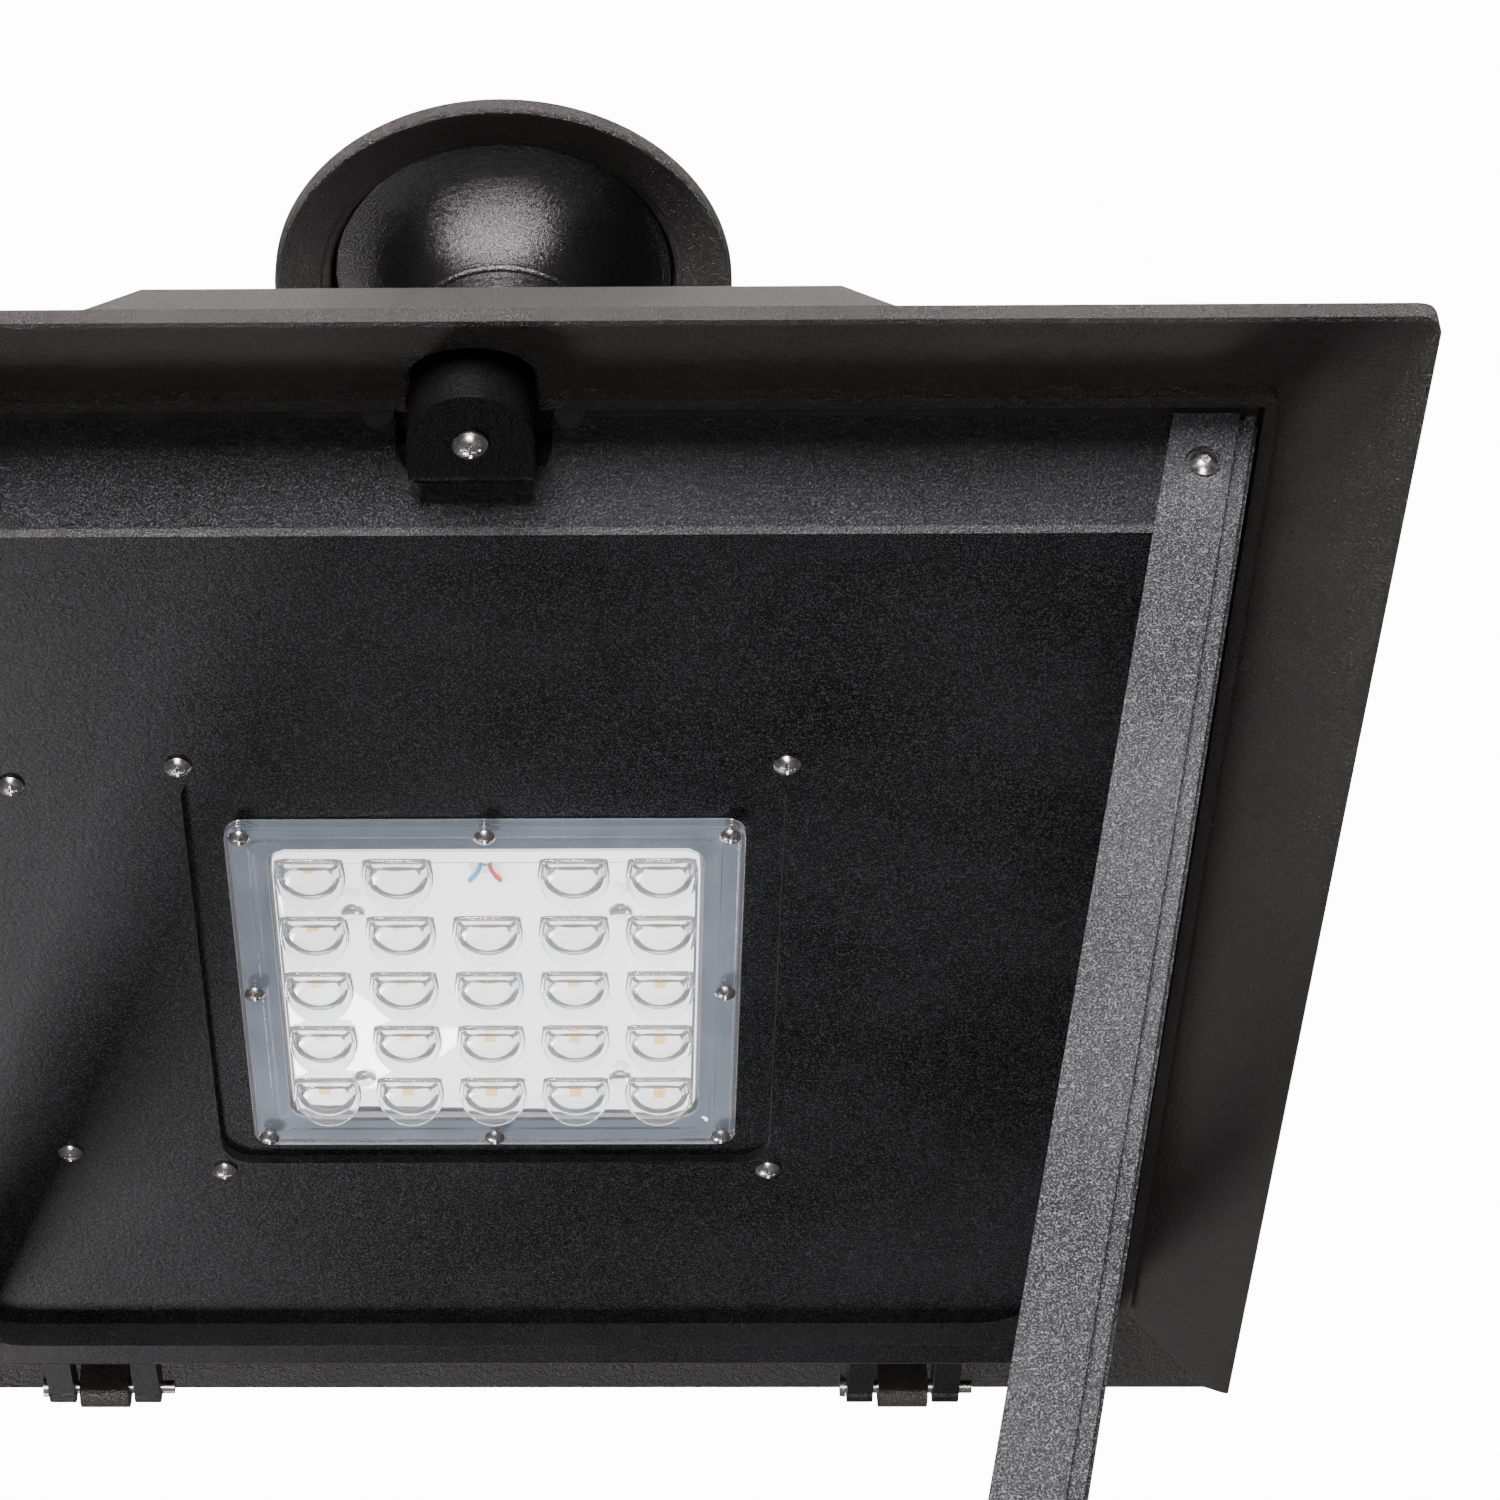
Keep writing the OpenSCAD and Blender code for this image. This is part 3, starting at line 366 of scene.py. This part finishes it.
# ---- LED lens ------------------------------------------------------------------------------------

LENSLET_W = 18.2 * MM
LENSLET_D = 20.4 * MM
LENSLET_BASE = 1.2 * MM
LENSLET_TOP = 2.1 * MM
CROWN_FRONT = 9.4 * MM  # how far the crown's flat edge stands ahead of the lenslet's middle
CROWN_D = 15.6 * MM
LENSLET_WALL = 1.3 * MM
GRID = 5
LENS_T = 2.4 * MM  # thickness of the plate at its rim
PLATEAU_T = 1.2 * MM  # how far the middle stands below the rim
PLATEAU_WALL = 1.1 * MM
DOME_R = 3.2 * MM
DOME_DROP = 1.9 * MM
SCREW_HEAD_R = 2.4 * MM
SINK = 0.01 * MM  # overlap of clear solids that stand on each other
# Border of the lens, from the rim inwards: inset, corner radius and height over the face, in mm
LENS_BORDER = [(0, 5, 0.2), (0.25, 4.8, 0), (1.5, 3.8, 0), (1.8, 3.6, 0.9), (5.6, 3.4, 0.9),
               (5.9, 3.4, 0), (7.0, 4.6, -0.1), (7.5, 4.8, 0.35), (11.6, 6, 0.35)]


def ring_points(w, d, r, z, steps=6):
    """Rounded rectangle, counter-clockwise from above."""
    points = []
    for sx, sy, start in ((1, 1, 0), (-1, 1, 90), (-1, -1, 180), (1, -1, 270)):
        for i in range(steps + 1):
            a = math.radians(start + 90 * i / steps)
            points.append(Vector((sx * (w / 2 - r) + r * math.cos(a),
                                  sy * (d / 2 - r) + r * math.sin(a), z)))
    return points


def loft(bm, rings, close_start=True, close_end=True):
    """Skin through rings of equally many points."""
    rows = [[bm.verts.new(p) for p in ring] for ring in rings]
    for lower, upper in zip(rows, rows[1:]):
        for i in range(len(lower)):
            j = (i + 1) % len(lower)
            bm.faces.new((lower[i], lower[j], upper[j], upper[i]))
    if close_start:
        bm.faces.new(list(reversed(rows[0])))
    if close_end:
        bm.faces.new(rows[-1])


def d_outline(w, d, z, y_shift=0.0, steps=14):
    """D shape: straight towards -Y, round towards +Y, with soft corners."""
    straight = d * 0.3
    points = []
    for i in range(steps + 1):
        a = math.pi * i / steps
        points.append(Vector((w / 2 * math.cos(a), straight - d * 0.5 + y_shift
                              + (d - straight) * math.sin(a), z)))
    corner = w * 0.12
    low = -d / 2 + y_shift
    points.append(Vector((-w / 2 + corner * 0.25, low + corner * 0.25, z)))
    points.append(Vector((-w / 2 + corner, low, z)))
    points.append(Vector((w / 2 - corner, low, z)))
    points.append(Vector((w / 2 - corner * 0.25, low + corner * 0.25, z)))
    return points


def crown_outline(scale, z, inset=0.0):
    """One level of the crown; every level keeps to the same flat front edge."""
    depth = CROWN_D * scale - 2 * inset
    return d_outline(LENSLET_W * scale - 2 * inset, depth, z, depth / 2 + inset - CROWN_FRONT)


def add_lenslet(bm, x, y, face):
    """One hollow D-shaped optic: upright skirt, shoulder, then a smaller crowned lens set forward."""
    at = Vector((x, y, 0))
    skirt = [(1.0, 0.0), (0.985, 0.7), (0.955, 0.96), (0.93, 1.0), (0.905, 0.8)]
    crown = [(0.86, 0.05), (0.845, 0.35), (0.79, 0.68), (0.67, 0.88), (0.48, 0.975), (0.25, 1.0)]
    rings = []
    for scale, drop in reversed(crown):
        level = face - (LENSLET_BASE + LENSLET_TOP * drop - LENSLET_WALL)
        rings.append(crown_outline(scale, level, LENSLET_WALL * scale * 0.8))
    rings.append(crown_outline(0.86, face, LENSLET_WALL))
    for scale, drop in skirt:
        rings.append(d_outline(LENSLET_W * scale, LENSLET_D * scale, face - LENSLET_BASE * drop))
    for scale, drop in crown:
        rings.append(crown_outline(scale, face - LENSLET_BASE - LENSLET_TOP * drop))
    loft(bm, [[p + at for p in ring] for ring in rings])


def lenslet_places():
    """Middle of each lenslet, from the chips below them."""
    low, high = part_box("led_chips")
    mid = (low + high) / 2
    chip = 3 * MM
    step_x = (high.x - low.x - chip) / (GRID - 1)
    step_y = (high.y - low.y - chip) / (GRID - 1)
    half = GRID // 2
    return [(mid.x + i * step_x, mid.y + j * step_y) for i in range(-half, half + 1)
            for j in range(-half, half + 1) if (i, j) != (0, -half)]


def make_lens():
    """Clear cover: rim with a raised border, groove, plateau and lenslets; build_lens adds the four
    screw domes.
    """
    low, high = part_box("led_lens")
    mid = (low + high) / 2
    w, d, top = high.x - low.x, high.y - low.y, high.z
    face = top - LENS_T
    at = Vector((mid.x, mid.y, 0))

    def ring(inset, radius, z):
        return [p + at for p in ring_points(w - 2 * inset * MM, d - 2 * inset * MM, radius * MM, z)]

    bm = bmesh.new()
    plateau = face - PLATEAU_T
    border = [ring(inset, radius, face + rise * MM) for inset, radius, rise in LENS_BORDER]
    loft(bm, [ring(13.4, 5, plateau + PLATEAU_WALL), ring(13.2, 5, top), ring(0, 5, top)] + border
         + [ring(12.2, 6, plateau + 0.2 * MM), ring(12.5, 6, plateau)])
    for x, y in lenslet_places():
        add_lenslet(bm, x, y, plateau - SINK)
    return bm, plateau


def add_dome(bm, x, y, face):
    """Small clear cap with a rounded top, over a board screw."""
    around = [2 * math.pi * i / 20 for i in range(20)]
    rings = []
    for scale, share in ((1.0, 0), (0.92, 0.3), (0.75, 0.62), (0.5, 0.86), (0.25, 0.97)):
        r, z = DOME_R * scale, face - DOME_DROP * share
        rings.append([Vector((x + r * math.cos(a), y + r * math.sin(a), z)) for a in around])
    loft(bm, rings)


def build_lens():
    bm, plateau = make_lens()
    low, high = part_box("board_screws")
    for x in (low.x + SCREW_HEAD_R, high.x - SCREW_HEAD_R):
        for y in (low.y + SCREW_HEAD_R, high.y - SCREW_HEAD_R):
            add_dome(bm, x, y, plateau - SINK)
    lens = add_object("led_lens_cover", to_mesh("led_lens_cover", bm), CLEAR, "frame")
    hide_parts("led_lens")


# ---- cables --------------------------------------------------------------------------------------

def curve_through(points, per_span=10):
    """Catmull-Rom curve through points."""
    ends = [points[0] * 2 - points[1]] + points + [points[-1] * 2 - points[-2]]
    made = []
    for a, b, c, d in zip(ends, ends[1:], ends[2:], ends[3:]):
        for i in range(per_span):
            t = i / per_span
            made.append(0.5 * (2 * b + (c - a) * t + (2 * a - 5 * b + 4 * c - d) * t * t
                               + (3 * b - a - 3 * c + d) * t ** 3))
    return made + [points[-1]]


def add_tube(bm, points, radius, sides=14):
    """Closed round tube along points, turned as little as possible on the way."""
    ahead = (points[1] - points[0]).normalized()
    side = ahead.orthogonal().normalized()
    rings = []
    for i, point in enumerate(points):
        after, before = points[min(i + 1, len(points) - 1)], points[max(i - 1, 0)]
        turn = ahead.rotation_difference((after - before).normalized())
        ahead, side = turn @ ahead, turn @ side
        up = ahead.cross(side)
        rings.append([point + radius * (math.cos(a) * side + math.sin(a) * up)
                      for a in [2 * math.pi * k / sides for k in range(sides)]])
    loft(bm, rings)


def cable(name, paths, radius, material, body, *stands_for):
    """Cable piece along one or more paths, given in millimetres from the eave plane."""
    bm = bmesh.new()
    for path in paths:
        add_tube(bm, curve_through([Vector((x, y, EAVE + h)) * MM for x, y, h in path]), radius * MM)
    obj = add_object(name, to_mesh(name, bm), material, body)
    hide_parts(*stands_for)
    return obj


CABLE_R, LEAD_R, BOARD_WIRE_R = 2.2, 1.8, 0.55


def build_cables():
    side = centre("charge_controller").x / MM
    exit_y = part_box("charge_controller")[1].y / MM
    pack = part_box("battery_pack")[1].x / MM
    cable("lamp_cable", [[(0, LEAD_Y, -9), (0, LEAD_Y, -2), (3, LEAD_Y - 10, 4), (14, LEAD_Y - 38, 2),
                          (40, -100, 0), (84, -96, 0), (108, -70, 0), (side - 12, -exit_y - 0.5, 0)]],
          CABLE_R, SHEATH, "frame", "led_cable")
    cable("battery_lead", [[(pack + 0.3, -40, 4), (pack + 8, -46, 4), (-96, -80, 2), (-84, -110, 0),
                            (-40, -117, 0), (60, -118, 0), (112, -104, 0), (side + 4, -70, 0),
                            (side + 4, -exit_y - 0.5, 0)]],
          CABLE_R, SHEATH, "frame", "battery_cable")
    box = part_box("junction_box")[1].x / MM
    link = cable("panel_link_cable", [[
        (side - 12, exit_y + 0.5, 0), (side - 12, 62, 0), (98, 78, 1), (70, 84, 3), (61, 100, 6),
        (60, 138, 12), (60, 150, 17), (60, 138, 22), (60, 100, 26), (60, 40, 29), (60, 14, 44),
        (58, 10, 112), (46, 10, 127), (box + 0.3, 10, 129)]],
        CABLE_R, SHEATH, None, "tray_panel_cable", "roof_panel_cable")
    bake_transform(link)
    runs = []
    for turn in range(4):
        a = math.pi / 2 * turn
        runs.append([(r * math.sin(a), -r * math.cos(a), h) for r, h in
                     ((128, 76), (114, 76), (84, 88), (58, 112), (44, 128), (box + 0.3, 131))])
    cable("panel_lead_wires", runs, LEAD_R, SHEATH, "roof", "panel_leads")


def build_board_wires():
    """Red and blue leads soldered beside the hole in the board."""
    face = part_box("led_board")[0].z / MM - EAVE
    for name, material, x in (("board_wire_red", RED_WIRE, 2.6), ("board_wire_blue", BLUE_WIRE, -2.6)):
        bm = bmesh.new()
        path = [(x * 0.45, LEAD_Y, face + 1.2), (x * 0.5, LEAD_Y + 0.4, face - 0.6),
                (x * 0.9, LEAD_Y + 2.4, face - 1.1), (x * 1.5, LEAD_Y + 5.4, face - 0.6)]
        add_tube(bm, curve_through([Vector((px, py, EAVE + h)) * MM for px, py, h in path]),
                 BOARD_WIRE_R * MM)
        add_object(name, to_mesh(name, bm), material, "frame")


# ---- stage ---------------------------------------------------------------------------------------

FLOOR_Z = -3.2
FLOOR_HALF = 14.0
FLOOR_GLOW = 0.9  # seen by the camera only, so that the pale floor is even


def floor_paint():
    """Pale to the camera, dim to the lantern, so that its underside stays dark."""
    n = Nodes("floor_paint")
    seen = n.add("ShaderNodeLightPath").outputs["Is Camera Ray"]
    paint = n.blend(n.ramp(n.noise(3), 0.35, 0.7, 0, 1), grey(0.8), grey(0.84))
    return n.finish(Base_Color=n.blend(seen, grey(0.12), paint), Roughness=0.8,
                    Emission_Color=grey(1.0), Emission_Strength=n.sums("MULTIPLY", seen, FLOOR_GLOW))


def make_floor():
    """Pale floor, as far below the lantern as the post it stands on, clear of low cameras."""
    bm = bmesh.new()
    steps = 8
    at = [FLOOR_HALF * (2 * i / steps - 1) for i in range(steps + 1)]
    points = [[bm.verts.new((x, y, FLOOR_Z)) for y in at] for x in at]
    for near, far in zip(points, points[1:]):
        for j in range(steps):
            bm.faces.new((near[j], far[j], far[j + 1], near[j + 1]))
    add_object("floor", to_mesh("floor", bm), floor_paint(), None)


SKY_ABOVE = 1.2
SKY_AROUND = 0.16
SKY_SEEN = 14.0
STUDIO_TINT = (1.0, 0.955, 0.975)


def make_world():
    """Studio: pure white to the camera, but bright overhead only and dim round the lantern."""
    world = bpy.data.worlds.new("studio")
    bpy.context.scene.world = world
    world.use_nodes = True
    tree = world.node_tree
    back = tree.nodes["Background"]
    back.inputs["Color"].default_value = (*STUDIO_TINT, 1)
    split = tree.nodes.new("ShaderNodeSeparateXYZ")
    tree.links.new(tree.nodes.new("ShaderNodeTexCoord").outputs["Generated"], split.inputs[0])
    above = tree.nodes.new("ShaderNodeMapRange")
    above.interpolation_type = "SMOOTHSTEP"
    for name, value in (("From Min", 0.7), ("From Max", 1.0), ("To Min", SKY_AROUND),
                        ("To Max", SKY_ABOVE)):
        above.inputs[name].default_value = value
    tree.links.new(split.outputs["Z"], above.inputs["Value"])
    strength = tree.nodes.new("ShaderNodeMapRange")
    strength.inputs["To Max"].default_value = SKY_SEEN
    tree.links.new(above.outputs["Result"], strength.inputs["To Min"])
    tree.links.new(tree.nodes.new("ShaderNodeLightPath").outputs["Is Camera Ray"],
                   strength.inputs["Value"])
    tree.links.new(strength.outputs["Result"], back.inputs["Strength"])


def area_light(name, place, target, width, height, power):
    data = bpy.data.lights.new(name, "AREA")
    data.shape = "RECTANGLE"
    data.size, data.size_y = width, height
    data.energy = power
    data.color = STUDIO_TINT
    obj = bpy.data.objects.new(name, data)
    bpy.context.scene.collection.objects.link(obj)
    obj.location = place
    obj.rotation_mode = "QUATERNION"
    obj.rotation_quaternion = (Vector(target) - Vector(place)).to_track_quat("-Z", "Y")


def make_lights():
    """Tall key in front, low fill that lights the legs and neck, sheen on the right eave."""
    middle = (0, 0, 0.45)
    right_eave = (0.19, 0.0, 0.46)
    area_light("key", (-0.3, -2.6, 0.75), middle, 1.2, 1.3, 480)
    area_light("low_front", (-0.1, -1.3, -0.95), middle, 0.6, 0.6, 24)
    area_light("sheen", (-0.75, 1.5, -0.8), right_eave, 0.5, 0.5, 44)


CAMERA_PLACE = (0.02836, -0.80449, -0.21707)
CAMERA_TURN = (42.67, -1.417, 0.769)  # elevation, yaw and roll, degrees
CAMERA_LENS, CAMERA_SENSOR, CAMERA_SHIFT = 96.61, 36, 0.15


def make_camera():
    """Camera low in front of the lantern, looking up under the roof."""
    elevation, yaw, roll = [math.radians(a) for a in CAMERA_TURN]
    ahead = Vector((math.sin(yaw) * math.cos(elevation), math.cos(yaw) * math.cos(elevation),
                    math.sin(elevation)))
    right = Vector((math.cos(yaw), -math.sin(yaw), 0))
    up = right.cross(ahead)
    right, up = (math.cos(roll) * right + math.sin(roll) * up,
                 -math.sin(roll) * right + math.cos(roll) * up)
    data = bpy.data.cameras.new("camera")
    data.sensor_width = CAMERA_SENSOR
    data.lens = CAMERA_LENS
    data.shift_x = CAMERA_SHIFT
    camera = bpy.data.objects.new("camera", data)
    bpy.context.scene.collection.objects.link(camera)
    camera.matrix_world = Matrix.Translation(CAMERA_PLACE) @ Matrix(
        (right, up, -ahead)).transposed().to_4x4()
    data.clip_start, data.clip_end = 0.01, 100
    bpy.context.scene.camera = camera


finish_cad()
build_lens()
build_cables()
build_board_wires()
make_floor()
make_world()
make_lights()
make_camera()
